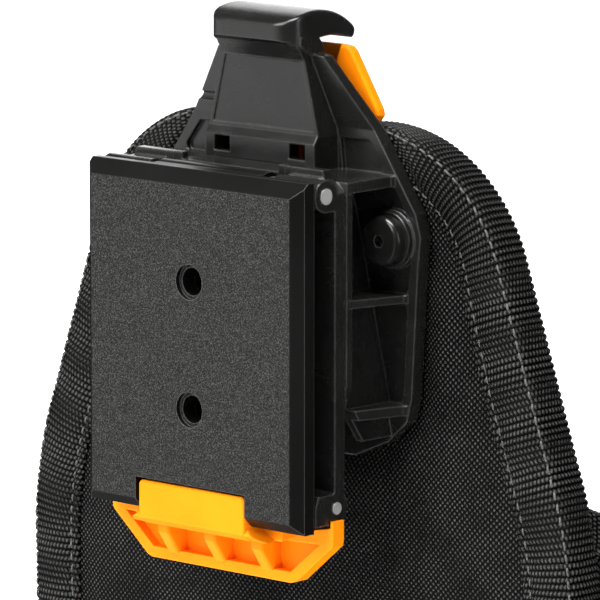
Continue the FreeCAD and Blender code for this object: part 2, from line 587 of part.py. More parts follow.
def front_pocket(side):
    """A box pocket sewn on the front: floor, front and two sides."""
    outer = box(POCKET_INNER, POCKET_OUTER, BODY_Y1 + 0.1, POCKET_Y1, BASE_Z + 1.5, POCKET_TOP)
    outer = rounded(outer, 11.0, lambda e, p: p.y > POCKET_Y1 - 0.1 and runs_along(e, 2))
    inner = box(POCKET_INNER + POCKET_WALL, POCKET_OUTER - POCKET_WALL, BODY_Y1, POCKET_Y1 - POCKET_WALL,
                BASE_Z + 1.5 + POCKET_WALL, 0)
    inner = rounded(inner, 9.0, lambda e, p: p.y > POCKET_Y1 - POCKET_WALL - 0.1 and runs_along(e, 2))
    slope = prism_x([(110, POCKET_TOP), (BODY_Y1, POCKET_TOP), (POCKET_Y1 + 1, POCKET_TOP - 9),
                     (160, POCKET_TOP - 9), (160, 0), (110, 0)], -10, 100)
    pocket = outer.cut(inner).cut(slope).cut(rivet_holes())
    return pocket if side > 0 else mirrored(pocket)


def driver_loops():
    """One strip of webbing sewn down between the loops it forms."""
    loops = []
    y0 = BODY_Y1 + BINDING_THICK + 0.2
    for k in range(LOOP_COUNT):
        x = (k - (LOOP_COUNT - 1) / 2) * LOOP_PITCH
        edge = LOOP_PITCH / 2
        outer = prism_z([(x - edge, y0), (x + edge, y0), (x + edge, y0 + STRAP), (x + LOOP_HALF, y0 + STRAP),
                         (x + LOOP_HALF - 2, y0 + LOOP_DEPTH), (x - LOOP_HALF + 2, y0 + LOOP_DEPTH),
                         (x - LOOP_HALF, y0 + STRAP), (x - edge, y0 + STRAP)], LOOP_Z0, LOOP_Z1)
        inner = prism_z([(x - LOOP_HALF + 1.6, y0 - 1), (x + LOOP_HALF - 1.6, y0 - 1),
                         (x + LOOP_HALF - 3.4, y0 + LOOP_DEPTH - STRAP),
                         (x - LOOP_HALF + 3.4, y0 + LOOP_DEPTH - STRAP)], LOOP_Z0 - 1, LOOP_Z1 + 1)
        loops.append(outer.cut(inner))
    return joined(loops)


def side_loop(side):
    """A flat webbing tunnel on the gusset for a hammer or a long driver."""
    y0, y1, x1 = 66.0, 92.0, 111.0
    x0 = BODY_HALF + 0.2
    outer = prism_z([(x0, y0 - 7), (x0 + STRAP, y0 - 7), (x0 + STRAP, y0), (x1, y0 + 3), (x1, y1 - 3),
                     (x0 + STRAP, y1), (x0 + STRAP, y1 + 2.5), (x0, y1 + 2.5)], -150.0, -112.0)
    inner = prism_z([(x0 - 1, y0 + 1.8), (x1 - STRAP, y0 + 4), (x1 - STRAP, y1 - 4), (x0 - 1, y1 - 1.8)],
                    -151.0, -111.0)
    loop = outer.cut(inner)
    return loop if side > 0 else mirrored(loop)


def rivet_spots():
    """X and Z of the two rivets on the right-hand front pocket."""
    z = POCKET_TOP - RIVET_DROP
    return [(POCKET_INNER + RIVET_INSET, z), (POCKET_OUTER - RIVET_INSET, z)]


def rivet_holes():
    return joined([rod_y(x, z, RIVET_R, POCKET_Y1 - 10, POCKET_Y1 + 10) for x, z in rivet_spots()])


def rivet(x, z):
    """A domed rivet along Y, its head outside the tape and its burr inside."""
    head_y = POCKET_Y1 + BINDING_THICK
    burr_y = POCKET_Y1 - POCKET_WALL - BINDING_THICK
    head = rod_y(x, z, 4.6, head_y, head_y + 1.6)
    head = rounded(head, 1.0, lambda e, p: p.y > head_y + 1.5)
    shank = rod_y(x, z, RIVET_R, burr_y, head_y)
    burr = rod_y(x, z, 3.8, burr_y - 0.8, burr_y)
    return joined([head, shank, burr])


def pocket_rivets():
    right = [rivet(x, z) for x, z in rivet_spots()]
    return right + [mirrored(each) for each in right]


def pocket_binding(side):
    """Folded tape over the mouth of one front pocket."""
    outer = box(POCKET_INNER - 0.8, POCKET_OUTER + 0.8, BODY_Y1 + 0.1, POCKET_Y1 + 0.8, -170, -100)
    outer = rounded(outer, 11.8, lambda e, p: p.y > POCKET_Y1 + 0.7 and runs_along(e, 2))
    wall = POCKET_WALL + 0.8
    inner = box(POCKET_INNER + wall, POCKET_OUTER - wall, BODY_Y1, POCKET_Y1 - wall, -180, -90)
    inner = rounded(inner, 8.2, lambda e, p: p.y > POCKET_Y1 - wall - 0.1 and runs_along(e, 2))

    def above(offset):
        top = POCKET_TOP + offset
        return prism_x([(110, top), (BODY_Y1, top), (POCKET_Y1 + 1, top - 9), (160, top - 9),
                        (160, -50), (110, -50)], -10, 100)

    band = outer.cut(inner).cut(above(0.8)).common(above(-12.0)).cut(rivet_holes())
    if side < 0:
        band = mirrored(band)
    return band.cut(front_pocket(side))


def build():
    save("hub_plate", hub_plate())
    save("hub_body", hub_body())
    save("hub_hinge_pin", rod_x(HINGE_Y, HINGE_Z, HINGE_R, -PLATE_HALF_X - 0.3, PLATE_HALF_X + 0.3))
    save("hub_hinge_springs", both_sides(coil(HINGE_Y, HINGE_Z, 3.4, 0.9, 21.4, 2.5)))
    save("hub_latch", hub_latch())
    save("latch_clip", latch_clip())
    save("latch_pin", rod_x(LATCH_Y, LATCH_Z, LATCH_R, -PLATE_HALF_X - 0.3, PLATE_HALF_X + 0.3))
    save("bracket", bracket())
    save("release_lever", release_lever())
    save("release_pin", rod_x(LEVER_Y, LEVER_Z, LEVER_PIN_R, -17.4, 17.4))
    save("lock_leaf", lock_leaf())
    save("lock_leaf_rivets", lock_leaf_rivets())
    save("bracket_screws", bracket_screws())
    save("bracket_washers", bracket_washers())
    save("bracket_nuts", bracket_nuts())
    save("backing_plate", backing_plate())
    y = FACE_Y
    for name, thick in (("back_fabric", FABRIC), ("back_foam", FOAM), ("back_board", BOARD),
                        ("back_lining", LINING)):
        save(name, panel_layer(y, y + thick))
        y += thick
    save("back_binding", back_binding())
    save("main_pocket", main_pocket())
    save("main_pocket_binding", main_binding())
    save("base_panel", base_panel())
    save("base_board", base_board())
    save("pocket_divider", divider())
    for word, side in (("left", -1), ("right", 1)):
        save("front_pocket_" + word, front_pocket(side))
        save("pocket_binding_" + word, pocket_binding(side))
        save("side_loop_" + word, side_loop(side))
    save("driver_loops", driver_loops())
    save("pocket_rivets", pocket_rivets())


build()
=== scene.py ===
"""Looks of the electrician tool pouch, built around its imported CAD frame.

Lengths in the tables below are millimetres measured like part.py's: X right,
Y away from the belt, Z up, from the centre of the hub plate's front face.
place() turns them into the frame's metres.
"""
import math

import bpy
import bmesh
import numpy as np
from mathutils import Matrix, Vector


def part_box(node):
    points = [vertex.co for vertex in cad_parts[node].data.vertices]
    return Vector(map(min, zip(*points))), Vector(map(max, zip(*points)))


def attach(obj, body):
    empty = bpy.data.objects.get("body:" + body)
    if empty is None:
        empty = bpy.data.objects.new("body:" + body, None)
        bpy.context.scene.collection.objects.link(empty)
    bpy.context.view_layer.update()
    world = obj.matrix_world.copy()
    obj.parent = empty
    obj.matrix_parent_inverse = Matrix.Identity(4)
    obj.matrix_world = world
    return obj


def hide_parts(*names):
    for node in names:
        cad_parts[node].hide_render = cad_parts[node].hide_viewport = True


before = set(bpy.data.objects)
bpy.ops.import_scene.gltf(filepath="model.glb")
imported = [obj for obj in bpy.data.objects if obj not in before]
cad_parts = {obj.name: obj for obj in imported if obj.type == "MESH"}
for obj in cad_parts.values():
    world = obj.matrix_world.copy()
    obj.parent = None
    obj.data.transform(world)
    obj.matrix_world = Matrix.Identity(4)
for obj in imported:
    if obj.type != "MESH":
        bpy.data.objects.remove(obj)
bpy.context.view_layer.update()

MM = 0.001
HUB_HEIGHT = 220.0
PLATE_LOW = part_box("hub_plate")[0]
HUB_FACE = Vector((0.0, PLATE_LOW.y, HUB_HEIGHT * MM))

# camera, matched to the photograph's view of the hub
AZIMUTH = math.radians(42.94)
ELEVATION = math.radians(9.215)
DISTANCE = 1.747
AIM_RIGHT = 0.03174
AIM_UP = 0.01323
LENS_MM = 366.9

# back panel
FACE_Y = 45.0
BACK_Y = 55.4
BOARD_Y = 51.7
TAPE_TOP = 16.0             # width of the binding's face at the panel's top
TAPE_SIDE = 19.0            # and on its flanks
RIB_PITCH = 2.1
RIB_HEIGHT = 0.55
RIB_STEPS = 6               # mesh rows to one rib of the binding
TAPE_STEPS = 5              # and of the other tapes
BEAD_PITCH = 1.3
WEAVE_PITCH = 1.85

# pouch body
BODY_Y0, BODY_Y1 = 56.6, 120.0
BODY_HALF = 100.0
BODY_CORNER = 24.0
WALL = 2.5
BASE_Z = -220.0
MOUTH_BACK, MOUTH_FRONT = -42.0, -66.0
POCKET_CENTRE, POCKET_HALF = 38.0, 34.0
POCKET_Y0, POCKET_Y1 = 120.1, 145.6
POCKET_CORNER = 11.0
POCKET_TOP = -112.0
POCKET_FALL = 9.0
LOOP_PITCH, LOOP_COUNT = 29.0, 5
LOOP_Z0, LOOP_Z1 = -104.0, -78.0


# ---------------------------------------------------------------- numbers
def place(points):
    """Hub-centred millimetres to the frame's metres."""
    out = np.array(points, float)
    out[..., 2] += HUB_HEIGHT
    out *= MM
    out[..., 1] += PLATE_LOW.y
    return out


def smooth_step(x, low, high):
    t = np.clip((x - low) / (high - low), 0.0, 1.0)
    return t * t * (3 - 2 * t)


def arc(start, middle, end, count=60):
    """Points on the circle through three points, from start to end."""
    (ax, ay), (bx, by), (cx, cy) = start, middle, end
    d = 2 * (ax * (by - cy) + bx * (cy - ay) + cx * (ay - by))
    a2, b2, c2 = ax * ax + ay * ay, bx * bx + by * by, cx * cx + cy * cy
    ux = (a2 * (by - cy) + b2 * (cy - ay) + c2 * (ay - by)) / d
    uy = (a2 * (cx - bx) + b2 * (ax - cx) + c2 * (bx - ax)) / d
    angles = np.unwrap([math.atan2(y - uy, x - ux) for x, y in (start, middle, end)])
    radius = math.hypot(ax - ux, ay - uy)
    sweep = np.linspace(angles[0], angles[2], count)
    return np.stack([ux + radius * np.cos(sweep), uy + radius * np.sin(sweep)], axis=1)


def line(start, end, count=60):
    return np.linspace(start, end, count)


def along(points, step, closed=False):
    """The polyline resampled at an even step; returns points and the length."""
    points = np.asarray(points, float)
    if closed:
        points = np.vstack([points, points[:1]])
    gaps = np.linalg.norm(np.diff(points, axis=0), axis=1)
    points = points[np.r_[True, gaps > 1e-9]]
    s = np.r_[0, np.cumsum(gaps[gaps > 1e-9])]
    count = max(2, int(round(s[-1] / step)))
    wanted = np.linspace(0, s[-1], count + 1)
    if closed:
        wanted = wanted[:-1]
    even = np.stack([np.interp(wanted, s, points[:, k]) for k in range(points.shape[1])], axis=1)
    return even, s[-1]


def rolled_mean(values, width):
    """Moving average round a closed list."""
    kernel = np.hanning(width + 2)[1:-1]
    kernel /= kernel.sum()
    half = width // 2
    padded = np.concatenate([values[-half:], values, values[:half]])
    columns = [np.convolve(padded[:, k], kernel, "valid") for k in range(values.shape[1])]
    return np.stack(columns, axis=1)[:len(values)]


def inward_normals(points, closed):
    """Unit normals to the left of the walk, which is inside a counter-clockwise outline."""
    if closed:
        tangent = np.roll(points, -1, axis=0) - np.roll(points, 1, axis=0)
    else:
        tangent = np.gradient(points, axis=0)
    tangent /= np.linalg.norm(tangent, axis=1)[:, None]
    return np.stack([-tangent[:, 1], tangent[:, 0]], axis=1)


def distance_outside(points, outline):
    """Distance of each point from a closed outline, negative inside it."""
    a = outline
    b = np.roll(outline, -1, axis=0)
    ab = b - a
    ap = points[:, None, :] - a[None]
    t = np.clip((ap * ab).sum(2) / (ab * ab).sum(1), 0, 1)
    gap = np.linalg.norm(ap - t[..., None] * ab, axis=2).min(axis=1)
    crosses = (a[:, 1] > points[:, None, 1]) != (b[:, 1] > points[:, None, 1])
    with np.errstate(divide="ignore", invalid="ignore"):
        x_at = a[:, 0] + (points[:, None, 1] - a[:, 1]) / (b[:, 1] - a[:, 1]) * ab[:, 0]
    inside = (crosses & (points[:, None, 0] < x_at)).sum(axis=1) % 2 == 1
    return np.where(inside, -gap, gap)


def ripples(a, b, scale, seed=0.0):
    """Smooth, repeatable unevenness between about -1 and 1."""
    a, b = a / scale, b / scale
    return (np.sin(a * 1.3 + b * 0.7 + seed) + np.sin(a * -0.6 + b * 1.7 + 2.1 * seed)
            + 0.6 * np.sin(a * 2.3 - b * 1.9 + 0.7 * seed)) / 2.6


# ---------------------------------------------------------------- meshes
def make_object(name, vertices, faces, material, uvs=None):
    """A mesh object; uvs holds one (u, v) in metres for each face corner."""
    mesh = bpy.data.meshes.new(name)
    mesh.from_pydata(vertices, [], faces)
    if uvs is not None:
        layer = mesh.uv_layers.new(name="UVMap")
        layer.data.foreach_set("uv", np.asarray(uvs, float).ravel())
    mesh.materials.append(material)
    mesh.polygons.foreach_set("use_smooth", [True] * len(mesh.polygons))
    obj = bpy.data.objects.new(name, mesh)
    bpy.context.scene.collection.objects.link(obj)
    return obj


def loft(name, rows, material, closed_u=False, caps=False):
    """Quads over the closed rows[i][j]; u runs over i and v over j, both in metres."""
    rows = np.asarray(rows, float)
    count_u, count_v = rows.shape[:2]
    wrapped = np.concatenate([rows, rows[:1]]) if closed_u else rows
    wrapped = np.concatenate([wrapped, wrapped[:, :1]], axis=1)
    u = np.cumsum(np.linalg.norm(np.diff(wrapped, axis=0, prepend=wrapped[:1]), axis=2).mean(axis=1))
    v = np.cumsum(np.linalg.norm(np.diff(wrapped, axis=1, prepend=wrapped[:, :1]), axis=2), axis=1)
    v_mean = v.mean(axis=0)
    last_u = count_u if closed_u else count_u - 1
    faces, uvs = [], []
    for i in range(last_u):
        below, above = i * count_v, ((i + 1) % count_u) * count_v
        for j in range(count_v):
            k = (j + 1) % count_v
            faces.append((below + j, above + j, above + k, below + k))
            uvs += [(u[i], v_mean[j]), (u[i + 1], v_mean[j]),
                    (u[i + 1], v_mean[j + 1]), (u[i], v_mean[j + 1])]
    if caps:
        faces.append(tuple(range(count_v)))
        faces.append(tuple(reversed(range((count_u - 1) * count_v, count_u * count_v))))
        uvs += [(0, v_mean[j]) for j in range(count_v)] * 2
    return make_object(name, rows.reshape(-1, 3), faces, material, uvs)


def box_uv(obj):
    """Flat-projects each face along its main axis, so a weave has its real pitch."""
    mesh = obj.data
    layer = mesh.uv_layers.get("UVMap") or mesh.uv_layers.new(name="UVMap")
    for face in mesh.polygons:
        axis = max(range(3), key=lambda k: abs(face.normal[k]))
        a, b = ((1, 2), (0, 2), (0, 1))[axis]
        for corner in face.loop_indices:
            point = mesh.vertices[mesh.loops[corner].vertex_index].co
            layer.data[corner].uv = (point[a], point[b])


def ride_on_pouch(obj, slot, *nodes):
    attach(obj, "pouch")
    if nodes:
        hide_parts(*nodes)
    return obj


def stitches(name, path, outward, material, length=2.9, gap=0.9, radius=0.34, closed=True):
    """A row of lock stitches: short threads that dive into the cloth at both ends."""
    path = np.asarray(path, float)
    outward = np.asarray(outward, float)
    both, total = along(np.hstack([path, outward]), 0.5, closed)
    s = np.linspace(0, total, len(both), endpoint=not closed)
    pitch = total / max(1, round(total / (length + gap)))
    shares = np.array([0.0, 0.18, 0.5, 0.82, 1.0])
    lift = np.array([-0.75, 0.35, 0.6, 0.35, -0.75]) * radius
    girth = np.array([0.55, 1.0, 1.0, 1.0, 0.55]) * radius
    sides = 6
    turn = np.arange(sides) * 2 * math.pi / sides
    vertices, faces = [], []
    for k in range(int(round(total / pitch))):
        spots = k * pitch + gap / 2 + shares * (pitch - gap)
        here = np.stack([np.interp(spots, s, both[:, c]) for c in range(6)], axis=1)
        centre, up = here[:, :3], here[:, 3:]
        up = up / np.linalg.norm(up, axis=1)[:, None]
        ahead = centre[-1] - centre[0]
        ahead = ahead / np.linalg.norm(ahead)
        across = np.cross(up, ahead)
        wobble = 0.12 * radius * math.sin(k * 2.4)
        base = len(vertices)
        for c, u, w, rise, r in zip(centre, up, across, lift, girth):
            for angle in turn:
                vertices.append(c + u * (rise + r * math.sin(angle)) + w * (wobble + r * math.cos(angle)))
        for ring in range(len(shares) - 1):
            for j in range(sides):
                a, b = base + ring * sides + j, base + ring * sides + (j + 1) % sides
                faces.append((a, b, b + sides, a + sides))
        faces.append(tuple(base + j for j in reversed(range(sides))))
        faces.append(tuple(base + (len(shares) - 1) * sides + j for j in range(sides)))
    obj = make_object(name, place(vertices), faces, material)
    return ride_on_pouch(obj, "webbing")


# ---------------------------------------------------------------- materials
class Shader:
    """A material's node tree, with short ways to add nodes."""

    def __init__(self, name):
        self.material = bpy.data.materials.new(name)
        self.material.use_nodes = True
        self.tree = self.material.node_tree
        self.bsdf = self.tree.nodes["Principled BSDF"]

    def node(self, kind, inputs=None, **settings):
        made = self.tree.nodes.new("ShaderNode" + kind)
        for key, value in settings.items():
            setattr(made, key, value)
        for key, value in (inputs or {}).items():
            self.feed(made.inputs[key], value)
        return made

    def feed(self, socket, value):
        if isinstance(value, bpy.types.NodeSocket):
            self.tree.links.new(value, socket)
        else:
            socket.default_value = value

    def math(self, operation, a, b=0.0):
        return self.node("Math", {0: a, 1: b}, operation=operation).outputs[0]

    def noise(self, where, scale, detail=2.0, rough=0.5):
        made = self.node("TexNoise", {"Vector": where, "Scale": scale, "Detail": detail, "Roughness": rough})
        return made.outputs["Fac"]

    def remap(self, value, low, high, new_low, new_high):
        made = self.node("MapRange", {"Value": value, "From Min": low, "From Max": high,
                                      "To Min": new_low, "To Max": new_high})
        return made.outputs[0]

    def colours(self, value, stops):
        made = self.node("ValToRGB", {"Fac": value})
        ramp = made.color_ramp
        while len(ramp.elements) < len(stops):
            ramp.elements.new(0.5)
        for element, (at, colour) in zip(ramp.elements, stops):
            element.position = at
            element.color = (*colour, 1.0)
        return made.outputs["Color"]

    def bump(self, height, distance, normal=None):
        inputs = {"Height": height, "Distance": distance, "Strength": 1.0}
        if normal is not None:
            inputs["Normal"] = normal
        return self.node("Bump", inputs).outputs[0]

    def set(self, **values):
        for key, value in values.items():
            self.feed(self.bsdf.inputs[key.replace("_", " ")], value)
        return self.material


def grey(value):
    return (value, value, value * 0.96)


def plastic(name, dark, light, rough, edge, bevel=0.0005, level=0.5):
    """Moulded plastic: faint flow marks, a fine skin, and lighter edges that are partly wear and partly a
    painted highlight.
    """
    s = Shader(name)
    where = s.node("TexCoord").outputs["Object"]
    cloudy = s.noise(where, 60.0, 3.0)
    skin = s.noise(where, 1800.0, 2.0)
    scratch_way = s.node("Mapping", {"Vector": where, "Scale": (90.0, 900.0, 240.0)}).outputs[0]
    scratches = s.noise(scratch_way, 1.0, 4.0, 0.7)
    rounded = s.node("Bevel", {"Radius": bevel}, samples=6).outputs[0]
    true_normal = s.node("NewGeometry").outputs["Normal"]
    along_edge = s.node("VectorMath", {0: rounded, 1: true_normal}, operation="DOT_PRODUCT").outputs["Value"]
    # Lighter colour on every bevelled edge: partly wear, partly a painted highlight along the edges.
    wear_and_edge_highlight = s.math("MULTIPLY", s.remap(along_edge, 1.0, 0.86, 0.0, 1.0),
                  s.remap(scratches, 0.3, 0.7, 0.5, 1.0))
    body = s.colours(s.remap(cloudy, 0.3, 0.7, 0.0, 1.0), [(0.0, dark), (1.0, light)])
    mixed = s.node("Mix", data_type="RGBA")
    s.feed(mixed.inputs["Factor"], wear_and_edge_highlight)
    s.feed(mixed.inputs[6], body)
    s.feed(mixed.inputs[7], (*edge, 1.0))
    gloss = s.remap(s.math("ADD", cloudy, scratches), 0.7, 1.3, rough - 0.05, rough + 0.06)
    return s.set(Base_Color=mixed.outputs[2], Roughness=gloss, Normal=s.bump(skin, 0.00002, rounded),
                 Specular_IOR_Level=level)


def plate_plastic():
    """The hub plate: spark-eroded front face, smoother chamfers and sides."""
    s = Shader("plate_plastic")
    coord = s.node("TexCoord")
    where = coord.outputs["Object"]
    facing = s.node("SeparateXYZ", {0: coord.outputs["Normal"]}).outputs["Y"]
    front = s.remap(facing, -0.90, -0.99, 0.0, 1.0)
    grain = s.noise(where, 2300.0, 3.0, 0.65)
    coarse = s.noise(where, 900.0, 2.0, 0.5)
    cloudy = s.noise(where, 22.0, 2.0)
    texture = s.math("ADD", s.math("MULTIPLY", grain, 0.88), s.math("MULTIPLY", coarse, 0.12))
    speck = s.colours(texture, [(0.42, grey(0.004)), (0.52, grey(0.014)), (0.62, grey(0.048))])
    smooth_skin = s.colours(cloudy, [(0.3, grey(0.003)), (0.7, grey(0.005))])
    rounded = s.node("Bevel", {"Radius": 0.0004}, samples=6).outputs[0]
    true_normal = s.node("NewGeometry").outputs["Normal"]
    along_edge = s.node("VectorMath", {0: rounded, 1: true_normal}, operation="DOT_PRODUCT").outputs["Value"]
    # Lighter grey on every bevelled edge: partly wear, partly a painted highlight along the edges.
    wear_and_edge_highlight = s.remap(along_edge, 1.0, 0.86, 0.0, 0.8)
    face = s.node("Mix", data_type="RGBA")
    s.feed(face.inputs["Factor"], front)
    s.feed(face.inputs[6], smooth_skin)
    s.feed(face.inputs[7], speck)
    worn_and_highlit_edges = s.node("Mix", data_type="RGBA")
    s.feed(worn_and_highlit_edges.inputs["Factor"], wear_and_edge_highlight)
    s.feed(worn_and_highlit_edges.inputs[6], face.outputs[2])
    s.feed(worn_and_highlit_edges.inputs[7], (*grey(0.09), 1.0))
    height = s.math("MULTIPLY", texture, s.remap(front, 0.0, 1.0, 0.06, 1.0))
    gloss = s.math("ADD", s.remap(front, 0.0, 1.0, 0.30, 0.50), s.remap(cloudy, 0.3, 0.7, -0.03, 0.04))
    return s.set(Base_Color=worn_and_highlit_edges.outputs[2], Roughness=gloss,
                 Normal=s.bump(height, 0.00026, rounded), Specular_IOR_Level=0.18)


def metal(name, colour, rough, metallic=1.0):
    """Turned or plated metal with faint tool marks and stains."""
    s = Shader(name)
    where = s.node("TexCoord").outputs["Object"]
    turned = s.noise(s.node("Mapping", {"Vector": where, "Scale": (400.0, 60.0, 60.0)}).outputs[0], 1.0, 3.0)
    stain = s.noise(where, 120.0, 3.0)
    dark = tuple(0.72 * c for c in colour)
    tint = s.colours(stain, [(0.3, dark), (0.6, colour)])
    rounded = s.node("Bevel", {"Radius": 0.0003}, samples=4).outputs[0]
    return s.set(Base_Color=tint, Metallic=metallic,
                 Roughness=s.remap(turned, 0.3, 0.7, rough - 0.08, rough + 0.1),
                 Normal=s.bump(turned, 0.00003, rounded))


def uv_parts(s):
    """The mesh's own u and v."""
    return s.node("SeparateXYZ", {0: s.node("UVMap", uv_map="UVMap").outputs[0]}).outputs


def sine(s, value, pitch):
    """A wave that repeats every pitch millimetres."""
    return s.math("SINE", s.math("MULTIPLY", value, 2 * math.pi / (pitch * MM)))


def woven(name, low, high, pitch=WEAVE_PITCH, depth=0.00028):
    """Ballistic nylon: raised yarn lozenges in a diagonal grid, their tops painted lighter as a highlight
    and the gaps between them painted dark as shade.
    """
    s = Shader(name)
    u, v = uv_parts(s)[0:2]
    where = s.node("TexCoord").outputs["Object"]
    drift = s.math("MULTIPLY", s.math("SUBTRACT", s.noise(where, 45.0, 2.0), 0.5), 0.0011)
    u, v = s.math("ADD", u, drift), s.math("SUBTRACT", v, drift)
    lozenge = s.math("MULTIPLY", sine(s, u, pitch), sine(s, v, pitch))
    lozenge = s.remap(lozenge, -0.6, 1.0, 0.0, 1.0)
    yarn = s.noise(s.node("Mapping", {"Vector": where, "Scale": (1.0, 1.0, 1.6)}).outputs[0], 2200.0, 2.0)
    patchy = s.noise(where, 70.0, 3.0)
    height = s.math("ADD", lozenge, s.math("MULTIPLY", yarn, 0.35))
    # Painted highlight on the yarn tops and painted shade in the gaps between them.
    lit = s.math("MULTIPLY", s.math("POWER", lozenge, 2.6), s.remap(yarn, 0.32, 0.68, 0.15, 1.5))
    lit = s.math("MULTIPLY", lit, s.remap(patchy, 0.3, 0.7, 0.55, 1.15))
    tint = s.colours(lit, [(0.05, low), (0.9, high)])
    return s.set(Base_Color=tint, Roughness=s.remap(yarn, 0.3, 0.7, 0.45, 0.7),
                 Specular_IOR_Level=0.08, Normal=s.bump(height, depth))


def ribbed(name, low, high, depth=0.00022):
    """Webbing: u runs along the tape, so ribs cross it, each a row of beads; bead tops are painted lighter
    as a highlight and the grooves darker as shade.
    """
    s = Shader(name)
    u, v = uv_parts(s)[0:2]
    where = s.node("TexCoord").outputs["Object"]
    rib_number = s.math("FLOOR", s.math("DIVIDE", u, RIB_PITCH * MM))
    phase = s.math("MULTIPLY", rib_number, math.pi)
    rib = s.math("ABSOLUTE", sine(s, u, 2 * RIB_PITCH))
    bead_turn = s.math("ADD", s.math("MULTIPLY", v, 2 * math.pi / (BEAD_PITCH * MM)), phase)
    bead = s.remap(s.math("SINE", bead_turn), -1.0, 1.0, 0.0, 1.0)
    yarn = s.noise(where, 2400.0, 2.0)
    patchy = s.noise(where, 90.0, 3.0)
    height = s.math("ADD", s.math("MULTIPLY", rib, s.remap(bead, 0.0, 1.0, 0.35, 1.0)),
                    s.math("MULTIPLY", yarn, 0.25))
    # Painted highlight on the bead tops and painted shade in the grooves between the ribs.
    lit = s.math("MULTIPLY", s.math("POWER", rib, 1.9), s.remap(bead, 0.1, 1.0, 0.10, 1.0))
    lit = s.math("MULTIPLY", lit, s.remap(yarn, 0.32, 0.68, 0.25, 1.4))
    lit = s.math("MULTIPLY", lit, s.remap(patchy, 0.3, 0.7, 0.8, 1.1))
    tint = s.colours(lit, [(0.05, low), (0.95, high)])
    return s.set(Base_Color=tint, Roughness=s.remap(yarn, 0.3, 0.7, 0.45, 0.7),
                 Specular_IOR_Level=0.08, Normal=s.bump(height, depth))


def thread():
    """Twisted sewing thread."""
    s = Shader("stitch_thread")
    where = s.node("TexCoord").outputs["Object"]
    twist = s.noise(where, 1600.0, 2.0)
    return s.set(Base_Color=s.colours(twist, [(0.3, grey(0.03)), (0.7, grey(0.11))]),
                 Roughness=s.remap(twist, 0.3, 0.7, 0.5, 0.7), Normal=s.bump(twist, 0.0001))


def board_plastic():
    """Pebbled stiffener board."""
    s = Shader("board_sheet")
    where = s.node("TexCoord").outputs["Object"]
    pebbled = s.noise(where, 700.0, 2.0)
    return s.set(Base_Color=s.colours(pebbled, [(0.3, grey(0.012)), (0.7, grey(0.025))]),
                 Roughness=s.remap(pebbled, 0.3, 0.7, 0.45, 0.6), Normal=s.bump(pebbled, 0.0001))


def paper():
    """The floor."""
    s = Shader("floor_paper")
    fibre = s.noise(s.node("TexCoord").outputs["Object"], 300.0, 2.0)
    tint = s.colours(fibre, [(0.3, (0.86, 0.86, 0.86)), (0.7, (0.88, 0.88, 0.88))])
    return s.set(Base_Color=tint, Roughness=0.9)


MATERIALS = {
    "plate": plate_plastic(),
    # The last colour given to plastic() is its lighter edge colour: partly wear, partly a painted highlight.
    "black": plastic("black_plastic", grey(0.006), grey(0.010), 0.25, grey(0.045), bevel=0.0009),
    "orange": plastic("orange_plastic", (0.86, 0.205, 0.002), (0.92, 0.235, 0.003), 0.42, (0.95, 0.32, 0.01),
                      bevel=0.0007, level=0.05),
    "pin": metal("pin_steel", (0.56, 0.56, 0.55), 0.36, metallic=0.6),
    "spring": metal("spring_steel", (0.34, 0.33, 0.32), 0.35),
    "screw": plastic("blackened_steel", grey(0.004), grey(0.008), 0.24, grey(0.08)),
    "zinc": metal("zinc_plate", (0.56, 0.57, 0.58), 0.34),
    "board": board_plastic(),
    # The weaves' lighter colours are painted highlights on yarn and bead tops; the darker ones are painted
    # shade in the gaps and grooves.
    "fabric": woven("ballistic_nylon", grey(0.0005), grey(0.076), depth=0.0004),
    "lining": woven("lining_nylon", grey(0.005), grey(0.030), pitch=0.9, depth=0.0001),
    "webbing": ribbed("ribbed_webbing", grey(0.0005), grey(0.068), depth=0.0003),
    "thread": thread(),
}
CAD_LOOKS = {
    "hub_plate": "plate", "hub_body": "black", "bracket": "black", "hub_latch": "orange",
    "release_lever": "orange", "hub_hinge_pin": "pin", "latch_pin": "pin", "release_pin": "pin",
    "hub_hinge_springs": "spring", "latch_clip": "spring", "lock_leaf": "spring",
    "lock_leaf_rivets": "pin", "bracket_screws": "screw", "bracket_washers": "screw",
    "bracket_nuts": "zinc", "backing_plate": "zinc", "pocket_rivets": "zinc",
    "back_board": "board", "base_board": "board",
}


def dress_cad_nodes():
    """Gives every hard CAD node its material."""
    for node_name, look in CAD_LOOKS.items():
        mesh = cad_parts[node_name].data
        mesh.materials.clear()
        mesh.materials.append(MATERIALS[look])


# ---------------------------------------------------------------- back panel
def panel_outline():
    """The back panel's edge as (X, Z), walked so that the panel is on the left."""
    right = [arc((22, 61.5), (60, 53), (79, 30)), line((79, 30), (99.4, -29)),
             arc((99.4, -29), (105.6, -50), (108, -72)), line((108, -72), (106, -198)),
             arc((106, -198), (100, -213.5), (85, BASE_Z))]
    half = np.vstack([line((0, 61.5), (22, 61.5))] + right + [line((85, BASE_Z), (0, BASE_Z))])
    whole = np.vstack([half, (half * (-1, 1))[::-1]])[::-1]
    even, _ = along(whole, RIB_PITCH / RIB_STEPS, closed=True)
    return rolled_mean(even, 31)


EDGE = panel_outline()
EDGE_IN = rolled_mean(inward_normals(EDGE, True), 45)
EDGE_IN /= np.linalg.norm(EDGE_IN, axis=1)[:, None]
BRACKET_RIGHT = np.array([(28, -33.5), (41, -28), (48.2, -21.5), (50, -14.7), (51.2, 5.8),
                          (52.2, 23.3), (53.2, 32), (51.2, 38.9), (37.2, 59.4), (26.4, 75)])
BRACKET_OUTLINE = np.vstack([BRACKET_RIGHT, BRACKET_RIGHT[::-1] * (-1, 1)])


